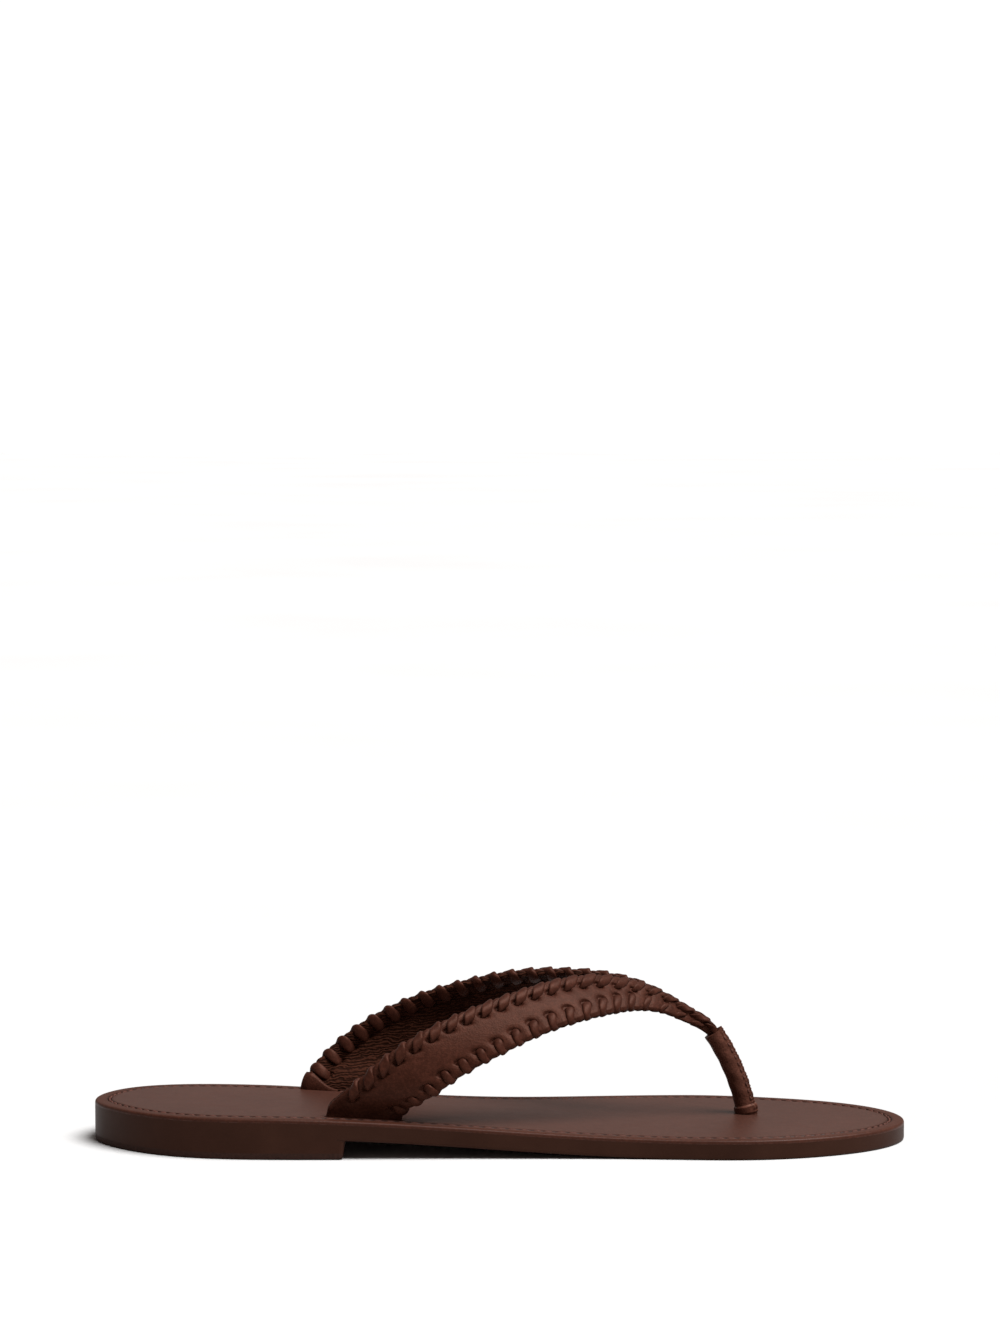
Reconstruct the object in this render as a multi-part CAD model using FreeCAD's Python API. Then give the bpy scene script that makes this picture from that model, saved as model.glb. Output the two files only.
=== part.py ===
import FreeCAD, Part
import math
import os

# Woman's flat thong sandal for the right foot, in millimetres.
# +X runs from heel to toe, +Y towards the big-toe side, +Z up; the floor is z = 0.
# The leather V of two whipstitched straps rises from slots beside the arch and
# meets in a rolled leather toe post that passes through the footbed.

# ---- driving dimensions ----------------------------------------------------
SOLE_LENGTH = 252.4
FOREFOOT_TOP = 6.1
HEEL_SEAT_TOP = 12.5
SLOPE_START_X = -75.0
SLOPE_END_X = 60.0

COVER_THICK = 1.2
INSOLE_THICK = 1.6
MIDSOLE_THICK = 1.3
OUTSOLE_THICK = 2.0
SOLE_THICK = COVER_THICK + INSOLE_THICK + MIDSOLE_THICK + OUTSOLE_THICK
BOARD_DEPTH = COVER_THICK + INSOLE_THICK
MIDSOLE_DEPTH = BOARD_DEPTH + MIDSOLE_THICK

TOP_LIFT_THICK = 2.0
BREAST_TOP_X = -47.0
BREAST_LEAN = 2.2

SEAM_INSET = 4.5
SEAM_WIDTH = 1.0
SEAM_DEPTH = 0.5
THREAD_WIDTH = 0.7
INSET_SAMPLES = 72

SHANK_THICK = 0.8
SHANK_WIDTH = 12.0
SHANK_BACK_X = -92.0
SHANK_FRONT_X = 6.0
SHANK_Y = -9.0

NAIL_RADIUS = 0.75
NAIL_HEAD_RADIUS = 1.8
NAIL_HEAD_THICK = 0.7
NAIL_TIP_Z = 3.4
NAIL_PLACES = [(-116.0, -5.0), (-100.0, 12.0), (-100.0, -24.0), (-66.0, 9.0), (-66.0, -28.0)]

LEATHER_THICK = 0.95
TAPE_THICK = 0.2
LACE_THICK = 0.9
LACE_REACH = 3.6
EDGE_INSET = 1.0
FULL_WIDTH = 16.0
TAB_THICK = 0.8
TAB_LENGTH = 10.0

POST_Y = 7.5
POST_RADIUS = 3.0
POST_BORE = 2.0
POST_PATH = [(77.6, FOREFOOT_TOP), (74.4, 17.5), (67.3, 31.3)]
TIP_DEPTH = 4.0
TIP_HALF_WIDTH = 1.9
TIP_SPREAD = 0.5
ANCHOR_RADIUS = 7.0
ANCHOR_THICK = 0.8
POST_STITCHES = 8
POST_STITCH_LENGTH = 1.6
POST_STITCH_THICK = 0.4
POST_SEAM_TURN = -40.0

# Outline of the footbed seen from above, heel tip first, big-toe side, then back.
OUTLINE = [
    (-126.2, -5.5), (-117.5, 17.6), (-90.0, 24.6), (-62.0, 20.2), (-30.0, 17.0),
    (0.0, 22.6), (30.0, 34.6), (58.0, 41.0), (85.0, 36.8), (108.0, 27.0),
    (121.2, 14.2), (126.2, -3.5), (119.5, -19.8), (104.0, -32.5), (78.0, -40.6),
    (50.0, -39.8), (15.0, -38.8), (-30.0, -39.6), (-70.0, -40.2), (-100.0, -34.5),
    (-119.0, -19.5),
]

# Both edges of each strap, from its slot up over the instep to just above the toe post.
# The rear edge is the upper one, the front edge the one that the toes pass under.
LATERAL_REAR = [
    (-54.0, -31.5, 9.2), (-54.0, -31.5, 12.1), (-46.5, -34.0, 21.3), (-36.0, -34.5, 30.4),
    (-22.0, -30.5, 39.0), (-5.0, -23.0, 45.6), (11.0, -14.5, 49.9), (25.0, -6.0, 51.6),
    (38.0, 0.0, 50.0), (50.0, 4.0, 45.7), (60.0, 5.6, 39.7), (67.0, 6.3, 35.0),
]
LATERAL_FRONT = [
    (-29.0, -32.0, 8.5), (-29.0, -32.0, 11.4), (-20.5, -36.0, 18.7), (-12.0, -36.0, 24.3),
    (0.0, -33.0, 30.5), (12.0, -28.0, 35.6), (24.0, -22.0, 39.0), (34.0, -14.5, 40.3),
    (44.0, -5.5, 40.2), (52.5, 0.0, 38.1), (59.0, 3.6, 34.8), (63.9, 5.9, 31.9),
]
MEDIAL_REAR = [
    (-63.0, 16.0, 9.4), (-63.0, 16.0, 12.3), (-57.5, 19.0, 22.0), (-47.0, 20.5, 31.2),
    (-30.0, 19.5, 40.6), (-12.0, 16.5, 46.6), (5.0, 13.0, 50.1), (21.0, 11.0, 50.8),
    (38.0, 10.4, 49.0), (50.0, 9.8, 44.9), (60.0, 9.2, 39.4), (67.0, 8.7, 35.0),
]
MEDIAL_FRONT = [
    (-38.0, 13.3, 8.7), (-38.0, 13.3, 11.6), (-30.0, 18.0, 19.0), (-20.0, 21.0, 24.8),
    (-6.0, 23.5, 30.8), (8.0, 24.5, 35.8), (21.5, 24.0, 38.9), (33.0, 21.0, 40.1),
    (44.0, 17.0, 39.8), (52.5, 13.4, 37.8), (59.0, 11.2, 34.8), (63.9, 9.1, 31.9),
]

os.makedirs("parts", exist_ok=True)


# ---- helpers ---------------------------------------------------------------
def vec(x, y, z):
    return FreeCAD.Vector(x, y, z)


def save(shape, node):
    """Write one sub-part and print what it measures."""
    shape.exportStep("parts/" + node + ".step")
    box = shape.optimalBoundingBox()
    print("%-22s solids %2d  valid %s  volume %9.1f  x %.1f..%.1f  y %.1f..%.1f  z %.2f..%.2f" % (
        node, len(shape.Solids), shape.isValid(), shape.Volume,
        box.XMin, box.XMax, box.YMin, box.YMax, box.ZMin, box.ZMax))


def top_height(x):
    """Height of the footbed: flat heel seat, smooth slope, flat forefoot."""
    share = (x - SLOPE_START_X) / (SLOPE_END_X - SLOPE_START_X)
    share = min(max(share, 0.0), 1.0)
    drop = share * share * (3.0 - 2.0 * share)
    return HEEL_SEAT_TOP - (HEEL_SEAT_TOP - FOREFOOT_TOP) * drop


def profile_edges(depth):
    """The footbed's side profile, lowered by depth, as three edges in the plane y = 0."""
    reach = SOLE_LENGTH / 2.0 + 10.0
    high = HEEL_SEAT_TOP - depth
    low = FOREFOOT_TOP - depth
    third = (SLOPE_END_X - SLOPE_START_X) / 3.0
    curve = Part.BezierCurve()
    curve.setPoles([
        vec(SLOPE_START_X, 0, high), vec(SLOPE_START_X + third, 0, high),
        vec(SLOPE_END_X - third, 0, low), vec(SLOPE_END_X, 0, low),
    ])
    back = Part.makeLine(vec(-reach, 0, high), vec(SLOPE_START_X, 0, high))
    front = Part.makeLine(vec(SLOPE_END_X, 0, low), vec(reach, 0, low))
    return [back, curve.toShape(), front]


def band(depth_top, depth_bottom):
    """A slab of the whole width between two depths below the footbed's surface."""
    top = profile_edges(depth_top)
    bottom = profile_edges(depth_bottom)
    toe_end = Part.makeLine(top[2].Vertexes[-1].Point, bottom[2].Vertexes[-1].Point)
    heel_end = Part.makeLine(bottom[0].Vertexes[0].Point, top[0].Vertexes[0].Point)
    wire = Part.Wire(Part.__sortEdges__(top + bottom + [toe_end, heel_end]))
    side = Part.Face(wire)
    side.translate(vec(0, -60.0, 0))
    return side.extrude(vec(0, 120.0, 0))


def outline_wire(inset=0.0):
    """The footbed's outline, or the same outline a distance inside it."""
    curve = Part.BSplineCurve()
    curve.interpolate(Points=[vec(x, y, -1.0) for x, y in OUTLINE], PeriodicFlag=True)
    if inset > 0.0:
        span = curve.LastParameter - curve.FirstParameter
        places = []
        for number in range(INSET_SAMPLES):
            parameter = curve.FirstParameter + span * number / INSET_SAMPLES
            along = curve.tangent(parameter)[0]
            places.append(curve.value(parameter) + vec(along.y, -along.x, 0) * inset)
        curve = Part.BSplineCurve()
        curve.interpolate(Points=places, PeriodicFlag=True)
    return Part.Wire(curve.toShape())


def prism(wire):
    """An upright prism over a closed wire, taller than the sole."""
    return Part.Face(wire).extrude(vec(0, 0, 20.0))


def layer(depth_top, depth_bottom):
    return band(depth_top, depth_bottom).common(prism(outline_wire()))


def unit(vector):
    return vector.multiply(1.0 / vector.Length)


def post_circle():
    """The circle that the post's middle line follows, and the post's length along it."""
    edge = Part.Arc(*[vec(x, POST_Y, z) for x, z in POST_PATH]).toShape()
    return edge.Curve, edge.FirstParameter, edge.Length


def post_place(distance):
    """Point, tangent and radial direction of the post at a distance above the footbed."""
    circle, start, _ = post_circle()
    point = circle.value(start + distance / circle.Radius)
    radial = unit(point.sub(circle.Center))
    tangent = unit(circle.Axis.cross(radial))
    return point, tangent, radial


def post_tube(radius, low, high):
    """A round bar along the post's arc between two distances above the footbed."""
    circle = post_circle()[0]
    point, tangent, _ = post_place(low)
    disc = Part.Face(Part.Wire(Part.makeCircle(radius, point, tangent)))
    return disc.revolve(circle.Center, circle.Axis, math.degrees((high - low) / circle.Radius))


def tip_station(depth, outward):
    """Rear and front corner of a strap's end, a depth below the top of the toe post."""
    point, _, radial = post_place(post_circle()[2] - depth)
    middle = point - vec(0, TIP_SPREAD * outward, 0)
    return middle + radial * TIP_HALF_WIDTH, middle - radial * TIP_HALF_WIDTH


class Strap:
    """One strap as matching stations along its rear and front edges."""

    def __init__(self, rear, front, outward):
        tips = [tip_station(depth, outward) for depth in (0.3, TIP_DEPTH)]
        self.rear = [vec(*p) for p in rear] + [tip[0] for tip in tips]
        self.front = [vec(*p) for p in front] + [tip[1] for tip in tips]
        self.count = len(self.rear)
        self.laced = len(rear)
        self.outward = outward

    def station(self, index):
        """Rear corner, direction across to the front edge, outward normal and width."""
        rear = self.rear[index]
        across = self.front[index].sub(rear)
        width = across.Length
        after = min(index + 1, self.count - 1)
        before = max(index - 1, 0)
        middle_after = self.rear[after].add(self.front[after])
        middle_before = self.rear[before].add(self.front[before])
        along = middle_after.sub(middle_before)
        normal = unit(across.cross(along)).multiply(self.outward)
        return rear, unit(across), normal, width

    def scale(self, width):
        """Leather and lace get thinner where the strap narrows to the toe post."""
        return min(max(width / FULL_WIDTH, 0.42), 1.0)

    def corner(self, station, along_width, height):
        rear, across, normal, _ = station
        return rear + across * along_width + normal * height

    def loft(self, section, first, last):
        """Loft the polygon that section(station) gives over a range of stations."""
        wires = []
        for index in range(first, last):
            points = section(self.station(index))
            wires.append(Part.makePolygon(points + [points[0]]))
        return Part.makeLoft(wires, True, False)

    def leather(self, low, high):
        """The strip between two heights from the strap's middle surface."""
        def section(station):
            width = station[3]
            size = self.scale(width)
            edge = EDGE_INSET * size
            return [
                self.corner(station, edge, high * size),
                self.corner(station, width - edge, high * size),
                self.corner(station, width - edge, low * size),
                self.corner(station, edge, low * size),
            ]
        return self.loft(section, 0, self.count)

    def lacing(self, at_rear):
        """The whipstitch along one edge as a plain channel that hugs the leather."""
        half = TAPE_THICK / 2.0 + LEATHER_THICK

        def section(station):
            width = station[3]
            size = self.scale(width)
            reach = min(LACE_REACH, 0.40 * width)
            inner = half * size
            outer = (half + LACE_THICK) * size
            places = [
                (reach, outer), (0.0, outer), (0.0, -outer), (reach, -outer),
                (reach, -inner), (EDGE_INSET * size, -inner),
                (EDGE_INSET * size, inner), (reach, inner),
            ]
            if not at_rear:
                places = [(width - place, height) for place, height in places]
            return [self.corner(station, place, height) for place, height in places]
        return self.loft(section, 1, self.laced)


# ---- sole ------------------------------------------------------------------
def heel_block_shape():
    """Stacked leather heel under the outsole, with a slightly leaning breast."""
    reach = SOLE_LENGTH
    corners = [
        vec(-reach, -60.0, TOP_LIFT_THICK), vec(BREAST_TOP_X - BREAST_LEAN, -60.0, TOP_LIFT_THICK),
        vec(BREAST_TOP_X, -60.0, HEEL_SEAT_TOP), vec(-reach, -60.0, HEEL_SEAT_TOP),
    ]
    side = Part.Face(Part.makePolygon(corners + [corners[0]]))
    block = side.extrude(vec(0, 120.0, 0))
    under_sole = band(SOLE_THICK, SOLE_THICK + HEEL_SEAT_TOP)
    return block.common(prism(outline_wire())).common(under_sole)


def top_lift_shape():
    breast = BREAST_TOP_X - BREAST_LEAN
    block = Part.makeBox(SOLE_LENGTH, 120.0, TOP_LIFT_THICK, vec(breast - SOLE_LENGTH, -60.0, 0))
    return block.common(prism(outline_wire()))


def shank_shape():
    run = SHANK_FRONT_X - SHANK_BACK_X
    plate = Part.makeBox(run, SHANK_WIDTH, 40.0, vec(SHANK_BACK_X, SHANK_Y - SHANK_WIDTH / 2.0, -10.0))
    upright = [edge for edge in plate.Edges if abs(edge.tangentAt(edge.FirstParameter).z) > 0.9]
    plate = plate.makeFillet(SHANK_WIDTH / 2.0 - 0.5, upright)
    return plate.common(band(BOARD_DEPTH, BOARD_DEPTH + SHANK_THICK))


def nail_shape(x, y):
    """A heel nail: head flush with the insole board's top, shaft down into the heel."""
    head_top = top_height(x) - COVER_THICK
    head = Part.makeCylinder(NAIL_HEAD_RADIUS, NAIL_HEAD_THICK, vec(x, y, head_top - NAIL_HEAD_THICK))
    shaft = Part.makeCylinder(NAIL_RADIUS, head_top - NAIL_TIP_Z, vec(x, y, NAIL_TIP_Z))
    return head.fuse(shaft).removeSplitter()


def seam_ring(width, depth_top, depth_bottom):
    outer = prism(outline_wire(SEAM_INSET - width / 2.0))
    inner = prism(outline_wire(SEAM_INSET + width / 2.0))
    return band(depth_top, depth_bottom).common(outer.cut(inner))


# ---- straps and toe post ---------------------------------------------------
def tab_shape(strap, inboard):
    """The folded end of a strap, cemented under the insole board."""
    back = strap.rear[0].x + EDGE_INSET
    front = strap.front[0].x - EDGE_INSET
    y = (strap.rear[0].y + strap.front[0].y) / 2.0
    start = y - LEATHER_THICK if inboard > 0 else y - TAB_LENGTH
    block = Part.makeBox(front - back, TAB_LENGTH + LEATHER_THICK, 40.0, vec(back, start, -10.0))
    return block.common(band(BOARD_DEPTH, BOARD_DEPTH + TAB_THICK))


def stitch_shapes():
    """Stitches of the post's seam, lying on the sleeve one after another."""
    stitches = []
    pitch = (length - 4.0) / POST_STITCHES
    turn = math.radians(POST_SEAM_TURN)
    for number in range(POST_STITCHES):
        point, tangent, radial = post_place(2.5 + pitch * number)
        side = tangent.cross(radial)
        outward = radial * math.cos(turn) + side * math.sin(turn)
        base = point + outward * (POST_RADIUS - 0.1) - tangent * (POST_STITCH_LENGTH / 2.0)
        bar = Part.makeCylinder(POST_STITCH_THICK, POST_STITCH_LENGTH, base, tangent)
        stitches.append(bar)
    return Part.makeCompound(stitches)


HALF_TAPE = TAPE_THICK / 2.0
OUTER_SKIN = HALF_TAPE + LEATHER_THICK

lateral = Strap(LATERAL_REAR, LATERAL_FRONT, 1.0)
medial = Strap(MEDIAL_REAR, MEDIAL_FRONT, -1.0)

length = post_circle()[2]
sleeve_low = -BOARD_DEPTH
sleeve_solid = post_tube(POST_RADIUS, sleeve_low, length)
bore = post_tube(POST_BORE, sleeve_low, length)
core = post_tube(POST_BORE, -BOARD_DEPTH - ANCHOR_THICK, length - TIP_DEPTH)
sleeve = sleeve_solid.cut(bore)

strap_cuts = []
for name, strap, inboard in (("lateral", lateral, 1.0), ("medial", medial, -1.0)):
    outer = strap.leather(HALF_TAPE, OUTER_SKIN)
    tape = strap.leather(-HALF_TAPE, HALF_TAPE)
    lining = strap.leather(-OUTER_SKIN, -HALF_TAPE)
    whole = strap.leather(-OUTER_SKIN, OUTER_SKIN)
    tab = tab_shape(strap, inboard)
    strap_cuts.append(whole)
    strap_cuts.append(tab)
    save(outer.fuse(tab.cut(whole)), "strap_" + name + "_outer")
    save(tape, "strap_" + name + "_tape")
    save(lining, "strap_" + name + "_lining")
    save(strap.lacing(True), "lace_" + name + "_rear")
    save(strap.lacing(False), "lace_" + name + "_front")

anchor_place, anchor_axis, anchor_radial = post_place(-BOARD_DEPTH)
anchor = Part.makeCylinder(ANCHOR_RADIUS, 40.0, vec(anchor_place.x, POST_Y, -10.0))
anchor = anchor.common(band(BOARD_DEPTH, BOARD_DEPTH + ANCHOR_THICK)).cut(core)

save(sleeve, "toe_post_sleeve")
save(core, "toe_post_core")
save(stitch_shapes().cut(sleeve), "toe_post_thread")
save(anchor, "toe_post_anchor")

nails = Part.makeCompound([nail_shape(x, y) for x, y in NAIL_PLACES])
shank = shank_shape()
through_sole = strap_cuts + [sleeve_solid, core, anchor, shank, nails]

groove = seam_ring(SEAM_WIDTH, -0.2, SEAM_DEPTH)
save(layer(0.0, COVER_THICK).cut(through_sole + [groove]), "footbed_cover")
save(seam_ring(THREAD_WIDTH, 0.05, SEAM_DEPTH), "footbed_seam_thread")
save(layer(COVER_THICK, BOARD_DEPTH).cut(through_sole), "insole_board")
save(layer(BOARD_DEPTH, MIDSOLE_DEPTH).cut(through_sole), "midsole")
save(layer(MIDSOLE_DEPTH, SOLE_THICK).cut([nails]), "outsole")
save(heel_block_shape().cut(nails), "heel_block")
save(top_lift_shape(), "heel_top_lift")
save(shank, "shank")
save(nails, "heel_nails")
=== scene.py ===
import math
import random

import bmesh
import bpy
import numpy as np
from mathutils.geometry import delaunay_2d_cdt
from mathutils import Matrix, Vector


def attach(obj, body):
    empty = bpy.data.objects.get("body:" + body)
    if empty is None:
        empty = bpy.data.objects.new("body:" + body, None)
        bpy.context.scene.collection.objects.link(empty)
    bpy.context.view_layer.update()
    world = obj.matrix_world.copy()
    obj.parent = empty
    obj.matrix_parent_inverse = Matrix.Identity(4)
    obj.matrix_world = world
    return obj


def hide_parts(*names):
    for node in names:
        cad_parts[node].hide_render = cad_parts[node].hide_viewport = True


# A leather thong sandal for the right foot. Shapes are worked out in millimetres
# in the CAD part's frame (+X toe, +Y big-toe side, +Z up) and written in metres.
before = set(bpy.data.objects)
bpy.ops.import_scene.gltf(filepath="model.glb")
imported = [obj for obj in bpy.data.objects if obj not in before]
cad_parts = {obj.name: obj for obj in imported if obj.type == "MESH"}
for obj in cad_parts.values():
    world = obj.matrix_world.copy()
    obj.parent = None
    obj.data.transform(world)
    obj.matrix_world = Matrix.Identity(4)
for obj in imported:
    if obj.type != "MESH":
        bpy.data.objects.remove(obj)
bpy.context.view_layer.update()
MM = 0.001
random.seed(38)

# ---- sizes, in millimetres -------------------------------------------------
# Sole: heights of the footbed and where it slopes, then each layer's underside below it.
FOREFOOT_TOP = 6.1
HEEL_SEAT_TOP = 12.5
SLOPE_START_X = -75.0
SLOPE_END_X = 60.0
COVER_THICK = 1.2
BOARD_DEPTH = 2.8
MIDSOLE_DEPTH = 4.1
SOLE_THICK = 6.1
RIM_SAMPLES = 1100

# Heel: rubber top lift, block up to the sole, and its front face, the breast.
TOP_LIFT = 2.0
HEEL_TOP = HEEL_SEAT_TOP - SOLE_THICK
BREAST_TOP_X = -47.0
BREAST_LEAN = 0.8
BREAST_CORNER = 1.2

# Lockstitch in the groove round the footbed; each stitch sinks at its two ends.
SEAM_INSET = 4.5
SEAM_PITCH = 3.7
SEAM_STITCH = 2.9
SEAM_SINK = 0.16
SEAM_DIP = 0.45
NEEDLE_DIMPLE = 0.32

# Strap: two leathers with a tape between them. A strap gets thinner below its full width.
LEATHER_THICK = 0.95
HALF_TAPE = 0.1
OUTER_SKIN = HALF_TAPE + LEATHER_THICK
EDGE_INSET = 1.0
FULL_WIDTH = 16.0
CROWN = 0.9

# Lace: a thong wound over each edge through holes a pitch apart.
LACE_PITCH = 6.2
LACE_WIDTH = 3.3
LACE_MEDIAL_WIDTH = 3.5
LACE_FRONT_WIDTH = 2.7
LACE_THICK = 1.35
LACE_STEPS = 32
LACE_SMOOTHING = 4

# Its holes, by strap and whether the edge is the rear one, and the marks it leaves.
HOLE_INSET = 5.4
MEDIAL_REAR_INSET = 6.9
HOLE_RADIUS = 1.6
HOLE_SINK = 1.6
HOLE_STOP = 2.0
HOLE_START = {("lateral", True): 7.6, ("lateral", False): 4.3,
              ("medial", True): -1.4, ("medial", False): 5.0}
PRESS_RADIUS = 2.9
PRESS_DEPTH = 0.22
PAD_RISE = 0.42
PAD_REACH = 5.5
EDGE_EASE = 0.62

# The straps' ends inside the toe post's sleeve, below its top.
TIP_DEPTHS = (0.3, 4.0)
TIP_HALF_WIDTH = 1.9
TIP_SPREAD = 0.5

# Toe post: an arc through three places, (x, z). Its seam is turned from the toe side outwards.
POST_Y = 7.5
POST_RADIUS = 3.0
POST_LENGTH = 27.0
SLEEVE_WALL = 0.95
SLEEVE_GROWTH = 0.12
CUFF_RISE = 0.50
POST_STITCH = 1.44
SEAM_ANGLE = math.radians(30)
POST_PATH = [(77.6, FOREFOOT_TOP), (74.4, 17.5), (67.3, 31.3)]

# The sole's outline, (x, y), from the back of the heel round the big-toe side.
OUTLINE = [
    (-126.2, -5.5), (-117.5, 17.6), (-90.0, 24.6), (-62.0, 20.2), (-30.0, 17.0),
    (0.0, 22.6), (30.0, 34.6), (58.0, 41.0), (85.0, 36.8), (108.0, 27.0),
    (121.2, 14.2), (126.2, -3.5), (119.5, -19.8), (104.0, -32.5), (78.0, -40.6),
    (50.0, -39.8), (15.0, -38.8), (-30.0, -39.6), (-70.0, -40.2), (-100.0, -34.5),
    (-119.0, -19.5),
]

# The straps' edges, (x, y, z), from inside the footbed's slot to the top of the toe post.
LATERAL_REAR = [
    (-54.0, -31.5, 9.2), (-54.0, -31.5, 12.1), (-46.5, -34.0, 21.3), (-36.0, -34.5, 30.4),
    (-22.0, -30.5, 39.0), (-5.0, -23.0, 45.6), (11.0, -14.5, 49.9), (25.0, -6.0, 51.6),
    (38.0, 0.0, 50.0), (50.0, 4.0, 45.7), (60.0, 5.6, 39.7), (67.0, 6.3, 35.0),
]
LATERAL_FRONT = [
    (-29.0, -32.0, 8.5), (-29.0, -32.0, 11.4), (-20.5, -36.0, 18.7), (-12.0, -36.0, 24.3),
    (0.0, -33.0, 30.5), (12.0, -28.0, 35.6), (24.0, -22.0, 39.0), (34.0, -14.5, 40.3),
    (44.0, -5.5, 40.2), (52.5, 0.0, 38.1), (59.0, 3.6, 34.8), (63.9, 5.9, 31.9),
]
MEDIAL_REAR = [
    (-63.0, 16.0, 9.4), (-63.0, 16.0, 12.3), (-57.5, 19.0, 22.0), (-47.0, 20.5, 31.2),
    (-30.0, 19.5, 40.6), (-12.0, 16.5, 46.6), (5.0, 13.0, 50.1), (21.0, 11.0, 50.8),
    (38.0, 10.4, 49.0), (50.0, 9.8, 44.9), (60.0, 9.2, 39.4), (67.0, 8.7, 35.0),
]
MEDIAL_FRONT = [
    (-38.0, 13.3, 8.7), (-38.0, 13.3, 11.6), (-30.0, 18.0, 19.0), (-20.0, 21.0, 24.8),
    (-6.0, 23.5, 30.8), (8.0, 24.5, 35.8), (21.5, 24.0, 38.9), (33.0, 21.0, 40.1),
    (44.0, 17.0, 39.8), (52.5, 13.4, 37.8), (59.0, 11.2, 34.8), (63.9, 9.1, 31.9),
]


# ---- geometry helpers ------------------------------------------------------
def spline(points, knots, at, closed=False):
    """The C2 cubic through points at knots, read at `at`. Closed repeats the first point."""
    values = np.asarray(points, float)
    step = np.diff(knots)
    slope = np.diff(values, axis=0) / step[:, None]
    count = len(values)
    matrix = np.zeros((count, count))
    right = np.zeros_like(values)
    for i in range(1, count - 1):
        matrix[i, i - 1:i + 2] = (step[i - 1], 2 * (step[i - 1] + step[i]), step[i])
        right[i] = 6 * (slope[i] - slope[i - 1])
    if closed:
        matrix[0, 0] = 1
        matrix[0, -1] = -1
        matrix[-1, [-1, -2]] = (2 * (step[0] + step[-1]), step[-1])
        matrix[-1, 1] += step[0]
        right[-1] = 6 * (slope[0] - slope[-1])
    else:
        matrix[0, 0] = matrix[-1, -1] = 1
    bend = np.linalg.solve(matrix, right)
    at = np.asarray(at, float)
    cell = np.clip(np.searchsorted(knots, at) - 1, 0, count - 2)
    h = step[cell][:, None]
    a = (knots[cell + 1] - at)[:, None] / h
    b = 1 - a
    cubic = ((a ** 3 - a) * bend[cell] + (b ** 3 - b) * bend[cell + 1]) * h * h / 6
    return a * values[cell] + b * values[cell + 1] + cubic


def lengths(points):
    steps = np.linalg.norm(np.diff(points, axis=0), axis=1)
    return np.concatenate([[0.0], np.cumsum(steps)])


def unit(vectors):
    return vectors / np.linalg.norm(vectors, axis=-1, keepdims=True)


def sample(table, at, knots):
    """Rows of a table read at places between its knots."""
    return np.stack([np.interp(at, knots, column) for column in table.T], axis=-1)


def bump(distance, radius):
    """1 at the centre, falling smoothly to 0 at radius."""
    share = np.clip(1 - distance / radius, 0, 1)
    return share * share * (3 - 2 * share)


def smooth(low, high, value):
    share = np.clip((value - low) / (high - low), 0, 1)
    return share * share * (3 - 2 * share)


class Builder:
    """Collects millimetre vertices and faces, then makes one smooth Blender mesh."""

    def __init__(self):
        self.verts = []
        self.faces = []
        self.count = 0

    def add(self, points):
        points = np.asarray(points, float).reshape(-1, 3)
        self.verts.append(points)
        self.count += len(points)
        return self.count - len(points)

    def grid(self, points, closed_u=False, closed_v=False, flip=False):
        """Quads over an array of rows and columns of points."""
        rows, columns = points.shape[:2]
        base = self.add(points)
        for i in range(rows if closed_u else rows - 1):
            for j in range(columns if closed_v else columns - 1):
                i2 = (i + 1) % rows
                j2 = (j + 1) % columns
                quad = [base + i * columns + j, base + i2 * columns + j,
                        base + i2 * columns + j2, base + i * columns + j2]
                self.faces.append(quad[::-1] if flip else quad)
        return base

    def fan(self, ring, flip=False):
        """Closes a ring of points with a fan about its centre."""
        base = self.add(ring)
        centre = self.add(np.mean(ring, axis=0))
        count = len(ring)
        for i in range(count):
            face = [base + i, base + (i + 1) % count, centre]
            self.faces.append(face[::-1] if flip else face)

    def tube(self, rings, closed=False):
        """Rings of points joined in order, with fans on the open ends."""
        self.grid(rings, closed_u=closed, closed_v=True)
        if not closed:
            self.fan(rings[0])
            self.fan(rings[-1], flip=True)

    def make(self, name, material, nodes=(), weld=0.002, sharp=50, layers=()):
        mesh = bpy.data.meshes.new(name)
        mesh.from_pydata((np.concatenate(self.verts) * MM).tolist(), [], self.faces)
        for label, values in layers:
            full = np.ones(self.count, np.float32)
            full[:len(values)] = values
            mesh.attributes.new(label, "FLOAT", "POINT").data.foreach_set("value", full)
        piece = bpy.data.objects.new(name, mesh)
        bpy.context.scene.collection.objects.link(piece)
        clean(piece, weld * MM)
        mesh.polygons.foreach_set("use_smooth", [True] * len(mesh.polygons))
        mesh.set_sharp_from_angle(angle=math.radians(sharp))
        mesh.materials.append(material)
        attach(piece, "root")
        if nodes:
            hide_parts(*nodes)
        return piece


def clean(piece, distance):
    """Welds shared rims and points every face outwards."""
    work = bmesh.new()
    work.from_mesh(piece.data)
    bmesh.ops.remove_doubles(work, verts=work.verts, dist=distance)
    bmesh.ops.recalc_face_normals(work, faces=work.faces)
    work.to_mesh(piece.data)
    work.free()


# ---- materials -------------------------------------------------------------
def node(tree, kind, **settings):
    made = tree.nodes.new(kind)
    for key, value in settings.items():
        setattr(made, key, value)
    return made


def link(tree, source, target):
    tree.links.new(source, target)


def ramp(tree, factor, low, high, start=0.3, end=0.7):
    made = node(tree, "ShaderNodeValToRGB")
    made.color_ramp.elements[0].position = start
    made.color_ramp.elements[0].color = (*low, 1)
    made.color_ramp.elements[1].position = end
    made.color_ramp.elements[1].color = (*high, 1)
    link(tree, factor, made.inputs["Fac"])
    return made.outputs["Color"]


def noise(tree, place, scale, detail=4.0, rough=0.55):
    made = node(tree, "ShaderNodeTexNoise")
    made.inputs["Scale"].default_value = scale
    made.inputs["Detail"].default_value = detail
    made.inputs["Roughness"].default_value = rough
    link(tree, place, made.inputs["Vector"])
    return made.outputs["Fac"]


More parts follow.
